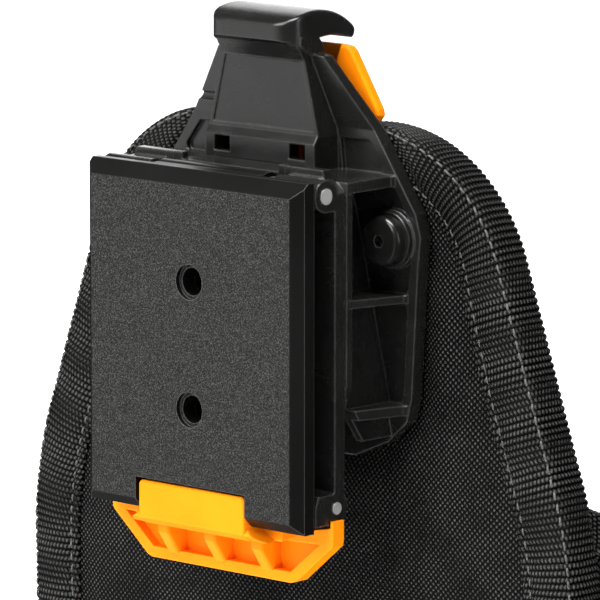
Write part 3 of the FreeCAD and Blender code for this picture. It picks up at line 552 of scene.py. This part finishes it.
def free_of_bracket(x, z, reach, margin=0.4):
    """0 under the bracket, rising to 1 beside it."""
    points = np.stack([np.ravel(x), np.ravel(z)], axis=1)
    gap = distance_outside(points, BRACKET_OUTLINE)
    return smooth_step(gap, margin, margin + reach).reshape(np.shape(x))


def tape_width(z):
    """Width of the binding's face, wider on the flanks."""
    return TAPE_TOP + (TAPE_SIDE - TAPE_TOP) * smooth_step(-z, -50, 10)


def tape_section(width):
    """The folded tape's face: inward distance and puff at each point, from its inner edge out."""
    face = [(width, 0.0), (width - 0.5, 0.55), (width - 1.6, 0.8), (width - 3.0, 0.35)]
    middle = np.linspace(width - 4.4, 3.4, 9)
    hump = 0.85 + 0.75 * np.sin(np.linspace(0.15, 1.0, 9) * math.pi * 0.93)
    return face + list(zip(middle, hump)) + [(2.2, 0.75)]


def panel_binding():
    """Ribbed tape folded round the panel's edge, pulled in along two seams."""
    count = len(EDGE)
    rib = np.abs(np.sin(np.pi * np.arange(count) / RIB_STEPS)) ** 0.8 - 0.55
    profile = np.array([tape_section(width) for width in tape_width(EDGE[:, 1])])
    d, puff = profile[..., 0], profile[..., 1]
    d_x = EDGE[:, :1] + EDGE_IN[:, :1] * d
    d_z = EDGE[:, 1:] + EDGE_IN[:, 1:] * d
    free = free_of_bracket(d_x, d_z, 4.0)
    ribs = RIB_HEIGHT * rib[:, None] * np.ones_like(puff)
    front_y = FACE_Y - 0.55 - (puff * 1.25 + ribs) * free + 0.25 * (1 - free)
    front_y = np.where(free < 1, np.maximum(front_y, FACE_Y - 0.8 - 2.5 * free), front_y)
    back_y = BACK_Y + 0.35 + puff * 0.5 + ribs * 0.7
    top_room = smooth_step(EDGE[:, 1], 58.0, 60.5)
    angles = np.radians([20, 55, 90])
    radius = 2.2
    edge_rib = RIB_HEIGHT * rib
    corner_front, corner_back, rim = [], [], []
    y_front, y_back = front_y[:, -1], back_y[:, -1]
    for a in angles:
        inward = radius - radius * math.sin(a) - edge_rib * math.sin(a) * (1 - 0.4 * top_room)
        corner_front.append((inward, y_front + radius * (1 - math.cos(a)) * 0.9))
        corner_back.append((inward, y_back - radius * (1 - math.cos(a)) * 0.9))
    for share in (0.2, 0.4, 0.6, 0.8):
        swell = 0.35 * math.sin(share * math.pi)
        rim.append((-edge_rib * (1 - 0.4 * top_room) - swell * (1 - top_room),
                    corner_front[-1][1] * (1 - share) + corner_back[-1][1] * share))
    edge_part = corner_front + rim + corner_back[::-1]
    edge_d = np.stack([inward for inward, _ in edge_part], axis=1)
    edge_y = np.stack([y for _, y in edge_part], axis=1)
    edge_x = EDGE[:, :1] + EDGE_IN[:, :1] * edge_d
    edge_z = EDGE[:, 1:] + EDGE_IN[:, 1:] * edge_d
    width_all = tape_width(EDGE[:, 1])
    inner_d = np.stack([width_all - 0.3, np.full(count, 3.0), np.full(count, 3.0), width_all - 0.3], axis=1)
    inner_y = np.broadcast_to(np.array([BACK_Y - 0.2, BACK_Y - 0.2, FACE_Y + 0.4, FACE_Y + 0.4]), (count, 4))
    inner_x = EDGE[:, :1] + EDGE_IN[:, :1] * inner_d
    inner_z = EDGE[:, 1:] + EDGE_IN[:, 1:] * inner_d
    xs = np.hstack([d_x, edge_x, d_x[:, ::-1], inner_x])
    ys = np.hstack([front_y, edge_y, back_y[:, ::-1], inner_y])
    zs = np.maximum(np.hstack([d_z, edge_z, d_z[:, ::-1], inner_z]), BASE_Z)
    rows = place(np.stack([xs, ys, zs], axis=2))
    obj = loft("panel_binding", rows, MATERIALS["webbing"], closed_u=True)
    ride_on_pouch(obj, "webbing", "back_binding")
    seam_inner = np.stack([d_x[:, 3], front_y[:, 3] + 0.05, d_z[:, 3]], axis=1)
    seam_outer = np.stack([edge_x[:, 0], edge_y[:, 0], edge_z[:, 0]], axis=1)
    facing = np.tile((0.0, -1.0, 0.0), (count, 1))
    slanted = np.stack([-0.5 * EDGE_IN[:, 0], np.full(count, -0.86), -0.5 * EDGE_IN[:, 1]], axis=1)
    stitches("binding_seam_inner", seam_inner[::4], facing[::4], MATERIALS["thread"])
    stitches("binding_seam_outer", seam_outer[::4], slanted[::4], MATERIALS["thread"])
    back_seam = np.stack([d_x[:, 3], back_y[:, 3], d_z[:, 3]], axis=1)
    stitches("binding_seam_back", back_seam[::4], -facing[::4], MATERIALS["thread"])


def panel_slab(name, inset, y0, y1, material):
    """A slab of the panel's outline, as one closed mesh."""
    ring = (EDGE + EDGE_IN * inset)[::24]
    count = len(ring)
    low = np.stack([ring[:, 0], np.full(count, y0), ring[:, 1]], axis=1)
    high = np.stack([ring[:, 0], np.full(count, y1), ring[:, 1]], axis=1)
    faces = [tuple(range(count)), tuple(reversed(range(count, 2 * count)))]
    faces += [(i, i + count, (i + 1) % count + count, (i + 1) % count) for i in range(count)]
    return make_object(name, place(np.vstack([low, high])), faces, material)


def apply_modifiers(obj):
    """Bakes the object's modifiers at the current frame into its mesh."""
    graph = bpy.context.evaluated_depsgraph_get()
    baked = bpy.data.meshes.new_from_object(obj.evaluated_get(graph))
    old = obj.data
    obj.modifiers.clear()
    obj.data = baked
    bpy.data.meshes.remove(old)


def read_points(mesh):
    points = np.empty(len(mesh.vertices) * 3)
    mesh.vertices.foreach_get("co", points)
    return points.reshape(-1, 3)


def write_points(mesh, points):
    mesh.vertices.foreach_set("co", np.asarray(points, float).ravel())
    mesh.update()


def remeshed(obj, size):
    """Even cells all over, for the simulation."""
    remesh = obj.modifiers.new("remesh", "REMESH")
    remesh.mode = "VOXEL"
    remesh.voxel_size = size
    remesh.use_smooth_shade = True
    apply_modifiers(obj)


def inflate(obj, pressure, cap):
    """Cloth pressure for 20 frames; no point moves further than the cap."""
    start = read_points(obj.data)
    cloth = obj.modifiers.new("cloth", "CLOTH")
    cloth.settings.use_pressure = True
    cloth.settings.uniform_pressure_force = pressure
    cloth.settings.effector_weights.gravity = 0.0
    scene = bpy.context.scene
    for number in range(1, 21):
        scene.frame_set(number)
    apply_modifiers(obj)
    scene.frame_set(1)
    moved = read_points(obj.data) - start
    length = np.linalg.norm(moved, axis=1)
    scale = np.minimum(1.0, cap * MM / np.maximum(length, 1e-9))
    return start, moved * scale[:, None]


def back_pad():
    """The padded, fabric-faced panel: crowned between the binding and the bracket."""
    pad = panel_slab("back_pad", 1.8, FACE_Y + 0.1, BOARD_Y - 0.1, MATERIALS["fabric"])
    remeshed(pad, 0.0045)
    start, moved = inflate(pad, 4.0, 4.0)
    x = start[:, 0] / MM
    z = start[:, 2] / MM - HUB_HEIGHT
    y = (start[:, 1] - PLATE_LOW.y) / MM
    points = np.stack([x, z], axis=1)
    from_edge = -distance_outside(points, EDGE[::24])
    free = free_of_bracket(x, z, 6.0)
    seam = smooth_step(from_edge, tape_width(z) - 3.0, tape_width(z) + 13.0)
    crown = free * seam * (1.6 + 0.35 * ripples(x, z, 17.0, 1.0))
    front = y < FACE_Y + 3.0
    swell = np.clip(-moved[:, 1] / MM, 0.0, 1.6) * free * seam * 0.6
    y = np.where(front, y - crown - swell, np.minimum(y, BOARD_Y - 0.1))
    write_points(pad.data, place(np.stack([x, y, z], axis=1)))
    smoother = pad.modifiers.new("subdivision", "SUBSURF")
    smoother.levels = smoother.render_levels = 1
    apply_modifiers(pad)
    box_uv(pad)
    ride_on_pouch(pad, "nylon_fabric", "back_fabric", "back_foam")


def back_lining():
    """The cloth on the pouch side of the panel."""
    lining = panel_slab("back_lining_cloth", 1.8, BOARD_Y + 2.55, BACK_Y, MATERIALS["lining"])
    box_uv(lining)
    ride_on_pouch(lining, "nylon_fabric", "back_lining")


# ---------------------------------------------------------------- pouch body
def u_path(centre, half, y0, y1, radius, step):
    """Plan of a pocket's wall: back left, round the front, to back right, with outward normals."""
    left = line((centre - half, y0), (centre - half, y1 - radius))
    c = radius * (1 - math.sqrt(0.5))
    corner_l = arc((centre - half, y1 - radius), (centre - half + c, y1 - c), (centre - half + radius, y1))
    front = line((centre - half + radius, y1), (centre + half - radius, y1))
    corner_r = arc((centre + half - radius, y1), (centre + half - c, y1 - c), (centre + half, y1 - radius))
    right = line((centre + half, y1 - radius), (centre + half, y0))
    path, _ = along(np.vstack([left, corner_l, front, corner_r, right]), step)
    return path, inward_normals(path, False)


def mouth_height(y):
    """The main pocket's mouth slopes down to the front."""
    return MOUTH_BACK + (MOUTH_FRONT - MOUTH_BACK) * (y - BODY_Y0) / (BODY_Y1 - BODY_Y0)


def body_bulge(x, y, z):
    """How far the pouch's wall stands proud of its flat pattern."""
    rise = np.clip((z - BASE_Z) / (mouth_height(y) - BASE_Z), 0, 1)
    side = smooth_step(np.abs(x), 90, 99) * smooth_step(y, BODY_Y0 + 2, BODY_Y0 + 20)
    sag = 3.4 * np.sin(np.pi * rise ** 0.75) * side
    folds = 0.5 * ripples(x + y * 1.4, z, 16.0, 2.0) * np.sin(np.pi * rise)
    return (sag + folds * (0.35 + 0.65 * side)) * smooth_step(y, BODY_Y0, BODY_Y0 + 12)


def pocket_mouth(y):
    """The front pockets' mouths slope too."""
    return POCKET_TOP - POCKET_FALL * (y - BODY_Y1) / (POCKET_Y1 + 1 - BODY_Y1)


def pocket_bulge(_, y, z):
    """A front pocket's swell, the same at any x along its front."""
    rise = np.clip((z - BASE_Z) / (pocket_mouth(y) - BASE_Z), 0, 1)
    held = smooth_step(y, POCKET_Y0, POCKET_Y0 + 10) * (1 - smooth_step(rise, 0.75, 0.95))
    return 1.5 * np.sin(np.pi * rise ** 0.6) * held


def shell(name, path, out, wall, z0, top, bulge, material, levels=30):
    """A pocket wall with thickness, lofted along its plan."""
    rows = []
    share = np.linspace(0, 1, levels)
    for (x, y), normal in zip(path, out):
        z = z0 + share * (top(y) - z0)
        b = bulge(np.full(levels, x), np.full(levels, y), z)
        outer = np.stack([x + normal[0] * b, y + normal[1] * b, z], axis=1)
        inner = np.stack([x + normal[0] * (b - wall), y + normal[1] * (b - wall), z], axis=1)
        rim = (outer[-1:] + inner[-1:]) / 2 + (0, 0, 0.35)
        rows.append(np.vstack([outer, rim, inner[::-1]]))
    obj = loft(name, place(np.array(rows)), material, caps=True)
    box_uv(obj)
    return obj


def mouth_tape(name, path, out, wall, band, top, bulge):
    """Ribbed tape folded over a pocket's mouth, with its seam."""
    heights = np.array([-band, -band + 0.6, -band + 2.2, -band * 0.6, -band * 0.3, -1.2])
    lift = np.array([0.15, 0.75, 0.45, 0.95, 0.9, 0.8])
    step_ribs = np.abs(np.sin(np.pi * np.arange(len(path)) / TAPE_STEPS)) ** 0.8 - 0.5
    rows, seam, facing = [], [], []
    for (x, y), normal, rib in zip(path, out, step_ribs):
        proud = lift + 0.22 * rib
        z = top(y) + heights
        b = bulge(np.full(6, x), np.full(6, y), z)
        outer = np.stack([x + normal[0] * (b + proud), y + normal[1] * (b + proud), z], axis=1)
        deep = b - wall - proud * 0.8
        inner = np.stack([x + normal[0] * deep, y + normal[1] * deep, z], axis=1)
        crest = (outer[-1:] + inner[-1:]) / 2 + (0, 0, 2.0 + 0.2 * rib)
        rows.append(np.vstack([outer, outer[-1:] * 0.85 + crest * 0.15 + (0, 0, 0.7), crest,
                               inner[-1:] * 0.85 + crest * 0.15 + (0, 0, 0.7), inner[::-1]]))
        seam.append(outer[2])
        facing.append((normal[0], normal[1], 0.0))
    obj = loft(name, place(np.array(rows)), MATERIALS["webbing"], caps=True)
    stitches(name + "_seam", seam[2:-2:3], facing[2:-2:3], MATERIALS["thread"], closed=False)
    return obj


def main_pocket():
    """The main compartment's wall and bound mouth."""
    path, out = u_path(0.0, BODY_HALF, BODY_Y0, BODY_Y1, BODY_CORNER, 3.0)
    body = shell("main_pocket_wall", path, out, WALL, BASE_Z + 2.5, mouth_height, body_bulge,
                 MATERIALS["fabric"], 40)
    ride_on_pouch(body, "nylon_fabric", "main_pocket")
    fine, fine_out = u_path(0.0, BODY_HALF, BODY_Y0, BODY_Y1, BODY_CORNER, RIB_PITCH / TAPE_STEPS)
    tape = mouth_tape("main_mouth_tape", fine, fine_out, WALL, 13.0, mouth_height, body_bulge)
    ride_on_pouch(tape, "webbing", "main_pocket_binding")


def welt():
    """Piping along the seam between the walls and the base."""
    path, out = u_path(0.0, BODY_HALF, BODY_Y0, BODY_Y1, BODY_CORNER, 2.0)
    turn = np.linspace(0, 2 * math.pi, 9)[:-1]
    rows = []
    for (x, y), normal in zip(path, out):
        reach = 0.2 + 1.3 * np.cos(turn)
        rows.append(np.stack([x + normal[0] * reach, y + normal[1] * reach,
                              BASE_Z + 2.4 + 1.3 * np.sin(turn)], axis=1))
    obj = loft("base_welt", place(np.array(rows)), MATERIALS["webbing"], caps=True)
    ride_on_pouch(obj, "webbing")


def base_cloth():
    """The pouch's floor: flat underneath, its edge rolled over."""
    path, out = u_path(0.0, BODY_HALF, BODY_Y0, BODY_Y1, BODY_CORNER, 4.0)
    back = line((BODY_HALF, BODY_Y0), (-BODY_HALF, BODY_Y0), 40)[1:-1]
    ring = np.vstack([path, back])
    centre = np.array([0.0, (BODY_Y0 + BODY_Y1) / 2])
    profile = [(0.02, -220.0), (0.6, -220.0), (0.985, -220.0), (0.998, -219.6), (1.0, -218.9),
               (0.998, -217.9), (0.985, -217.55), (0.6, -217.55), (0.02, -217.55)]
    rows = [[(x, y, z) for x, y in centre + (ring - centre) * share] for share, z in profile]
    obj = loft("base_cloth", place(np.array(rows)), MATERIALS["fabric"], caps=True)
    box_uv(obj)
    ride_on_pouch(obj, "nylon_fabric", "base_panel")


def divider():
    """A cloth sheet across the pouch, a little slack, its top edge turned over."""
    x = np.linspace(-97.3, 97.3, 60)
    z = np.linspace(BASE_Z + 4.8, -92.0, 34)
    rows = []
    for zi in z:
        slack = 2.2 * np.sin(np.pi * (zi - z[0]) / (z[-1] - z[0]) * 0.5) * np.cos(np.pi * x / 197)
        y = 84.3 + slack + 0.5 * ripples(x, np.full(60, zi), 19.0, 4.0)
        thick = 1.0 + 0.5 * (zi > -104)
        front = np.stack([x, y, np.full(60, zi)], axis=1)
        behind = np.stack([x, y + thick, np.full(60, zi)], axis=1)
        rows.append(np.vstack([front, behind[::-1]]))
    obj = loft("divider_cloth", place(np.array(rows)), MATERIALS["lining"], caps=True)
    box_uv(obj)
    ride_on_pouch(obj, "nylon_fabric", "pocket_divider")


def front_pocket(word, side):
    """A box pocket: wall, floor and bound mouth."""
    path, out = u_path(side * POCKET_CENTRE, POCKET_HALF, POCKET_Y0, POCKET_Y1, POCKET_CORNER, 2.0)
    wall = shell("front_pocket_wall_" + word, path, out, 2.0, BASE_Z + 1.5, pocket_mouth,
                 pocket_bulge, MATERIALS["fabric"], 34)
    ride_on_pouch(wall, "nylon_fabric", "front_pocket_" + word)
    floor_rows = []
    for z in (BASE_Z + 1.5, BASE_Z + 3.4):
        inner = path - out * 1.0
        floor_rows.append([(p[0], p[1], z) for p in inner])
    floor_obj = loft("front_pocket_floor_" + word, place(np.array(floor_rows)), MATERIALS["fabric"],
                     caps=True)
    box_uv(floor_obj)
    ride_on_pouch(floor_obj, "nylon_fabric")
    fine, fine_out = u_path(side * POCKET_CENTRE, POCKET_HALF, POCKET_Y0, POCKET_Y1, POCKET_CORNER,
                            RIB_PITCH / TAPE_STEPS)
    tape = mouth_tape("front_mouth_tape_" + word, fine, fine_out, 2.0, 12.0, pocket_mouth,
                      pocket_bulge)
    ride_on_pouch(tape, "webbing", "pocket_binding_" + word)


def strip(name, path, low, high, thick, node_name):
    """Webbing that follows a plan path, with rounded selvedges and real ribs."""
    path, _ = along(path, RIB_PITCH / TAPE_STEPS)
    out = inward_normals(path, False)
    rib = np.abs(np.sin(np.pi * np.arange(len(path)) / TAPE_STEPS)) ** 0.8 - 0.5
    span = np.array([0.0, 0.4, 1.2])
    levels = np.concatenate([low + span, np.linspace(low + 3, high - 3, 5), high - span[::-1]])
    full = np.array([0.15, 0.75, 1.0, 1, 1, 1, 1, 1, 1.0, 0.75, 0.15])
    rows = []
    for (x, y), normal, r in zip(path, out, rib):
        half = thick / 2 * full
        proud = half + 0.2 * r * full
        outer = np.stack([x + normal[0] * proud, y + normal[1] * proud, levels], axis=1)
        inner = np.stack([x - normal[0] * half, y - normal[1] * half, levels], axis=1)
        rows.append(np.vstack([outer, inner[::-1]]))
    obj = loft(name, place(np.array(rows)), MATERIALS["webbing"], caps=True)
    return ride_on_pouch(obj, "webbing", node_name)


def driver_loops():
    """One tape that rises into five rounded loops and is sewn down between them."""
    y0 = BODY_Y1 + 1.9
    points = []
    for k in range(LOOP_COUNT):
        x = (k - (LOOP_COUNT - 1) / 2) * LOOP_PITCH
        points += [(x - 14.5, y0), (x - 12.6, y0), (x - 11.4, y0 + 1.8)]
        points += list(map(tuple, arc((x - 11.0, y0 + 3.0), (x, y0 + 8.2), (x + 11.0, y0 + 3.0), 13)))
        points += [(x + 11.4, y0 + 1.8), (x + 12.6, y0), (x + 14.5, y0)]
    strip("driver_loop_tape", np.array(points), LOOP_Z0, LOOP_Z1, 1.6, "driver_loops")
    for k in range(LOOP_COUNT + 1):
        x = (k - LOOP_COUNT / 2) * LOOP_PITCH
        for offset in (-0.8, 0.8):
            if abs(x + offset) < 72.4:
                ends = line((x + offset, y0 + 1.15, LOOP_Z0 + 2), (x + offset, y0 + 1.15, LOOP_Z1 - 2), 12)
                stitches("loop_tack_%d_%s" % (k, "a" if offset < 0 else "b"), ends,
                         np.tile((0, 1, 0), (12, 1)), MATERIALS["thread"], closed=False)


def side_loops():
    """A webbing tunnel on each side of the pouch."""
    for word, side in (("left", -1), ("right", 1)):
        base = BODY_HALF + 4.4
        crown = arc((base + 1.0, 69), (109.6, 79), (base + 1.0, 89), 15)
        path = [(base, 60), (base, 66)] + list(map(tuple, crown)) + [(base, 92), (base, 94)]
        path = np.array([(side * x, y) for x, y in (path if side < 0 else path)])
        path = path if side > 0 else path[::-1]
        strip("side_loop_tape_" + word, path[::-1], -150.0, -112.0, 1.6, "side_loop_" + word)


# ---------------------------------------------------------------- studio
def camera():
    """Looks at the hub from the right and a little above."""
    sa, ca = math.sin(AZIMUTH), math.cos(AZIMUTH)
    se, ce = math.sin(ELEVATION), math.cos(ELEVATION)
    back = Vector((sa * ce, -ca * ce, se))
    right = Vector((ca, sa, 0.0))
    up = Vector((-sa * se, ca * se, ce))
    data = bpy.data.cameras.new("camera")
    data.lens = LENS_MM
    data.sensor_width = 36.0
    data.clip_end = 20.0
    cam = bpy.data.objects.new("camera", data)
    cam.location = HUB_FACE + back * DISTANCE + right * AIM_RIGHT + up * AIM_UP
    cam.rotation_euler = Matrix((right, up, back)).transposed().to_euler()
    bpy.context.scene.collection.objects.link(cam)
    bpy.context.scene.camera = cam


def lamp(name, data, where, aim=HUB_FACE):
    """Hangs a lamp at a place, turned to face another."""
    obj = bpy.data.objects.new(name, data)
    obj.location = where
    obj.rotation_euler = (Vector(aim) - Vector(where)).to_track_quat("-Z", "Y").to_euler()
    bpy.context.scene.collection.objects.link(obj)
    return obj


def softbox(name, where, size, power):
    data = bpy.data.lights.new(name, "AREA")
    data.shape = "RECTANGLE"
    data.size, data.size_y = size
    data.energy = power
    lamp(name, data, where)


def floor():
    """White paper with its own lamp, so that the black pouch can be lit from one side."""
    s = 6.0
    obj = make_object("floor", [(-s, -s, 0), (s, -s, 0), (s, s, 0), (-s, s, 0)], [(0, 1, 2, 3)], paper())
    obj.visible_glossy = False
    only_floor = bpy.data.collections.new("only_floor")
    only_floor.objects.link(obj)
    data = bpy.data.lights.new("floor_light", "SUN")
    data.energy = 3.2
    data.angle = 1.0
    down = lamp("floor_light", data, (0, 0, 3), (0, 0.3, 0))
    down.light_linking.receiver_collection = only_floor


def studio_world():
    """Dim all round; shiny things also see a pale card low on the front left."""
    world = bpy.data.worlds.new("studio")
    world.use_nodes = True
    tree = world.node_tree
    where = tree.nodes.new("ShaderNodeTexCoord").outputs["Generated"]
    towards = tree.nodes.new("ShaderNodeVectorMath")
    towards.operation = "DOT_PRODUCT"
    towards.inputs[1].default_value = (-0.62, -0.62, -0.48)
    tree.links.new(where, towards.inputs[0])
    card = tree.nodes.new("ShaderNodeMapRange")
    for name, value in (("From Min", 0.6), ("From Max", 0.95), ("To Min", 0.03), ("To Max", 1.3)):
        card.inputs[name].default_value = value
    tree.links.new(towards.outputs["Value"], card.inputs["Value"])
    ambient = tree.nodes["Background"]
    ambient.inputs["Color"].default_value = (1, 1, 1, 1)
    ambient.inputs["Strength"].default_value = 0.22
    mirrored = tree.nodes.new("ShaderNodeBackground")
    mirrored.inputs["Color"].default_value = (1, 1, 1, 1)
    tree.links.new(card.outputs[0], mirrored.inputs["Strength"])
    rays = tree.nodes.new("ShaderNodeLightPath")
    choose = tree.nodes.new("ShaderNodeMixShader")
    tree.links.new(rays.outputs["Is Glossy Ray"], choose.inputs[0])
    tree.links.new(ambient.outputs[0], choose.inputs[1])
    tree.links.new(mirrored.outputs[0], choose.inputs[2])
    tree.links.new(choose.outputs[0], tree.nodes["World Output"].inputs["Surface"])
    bpy.context.scene.world = world


def studio():
    """Floor, world and lamps."""
    floor()
    studio_world()
    softbox("key_front", (-0.45, -1.75, 1.6), (1.8, 1.5), 78)
    softbox("overhead", (0.15, -0.5, 2.1), (1.1, 0.6), 60)
    softbox("side_right", (1.9, -0.1, 0.7), (0.3, 1.3), 6)
    softbox("back_fill", (-1.0, 1.7, 0.9), (1.5, 1.5), 14)
    bpy.context.scene.view_settings.view_transform = "Standard"


dress_cad_nodes()
back_pad()
back_lining()
panel_binding()
main_pocket()
welt()
base_cloth()
divider()
front_pocket("left", -1)
front_pocket("right", 1)
driver_loops()
side_loops()
camera()
studio()
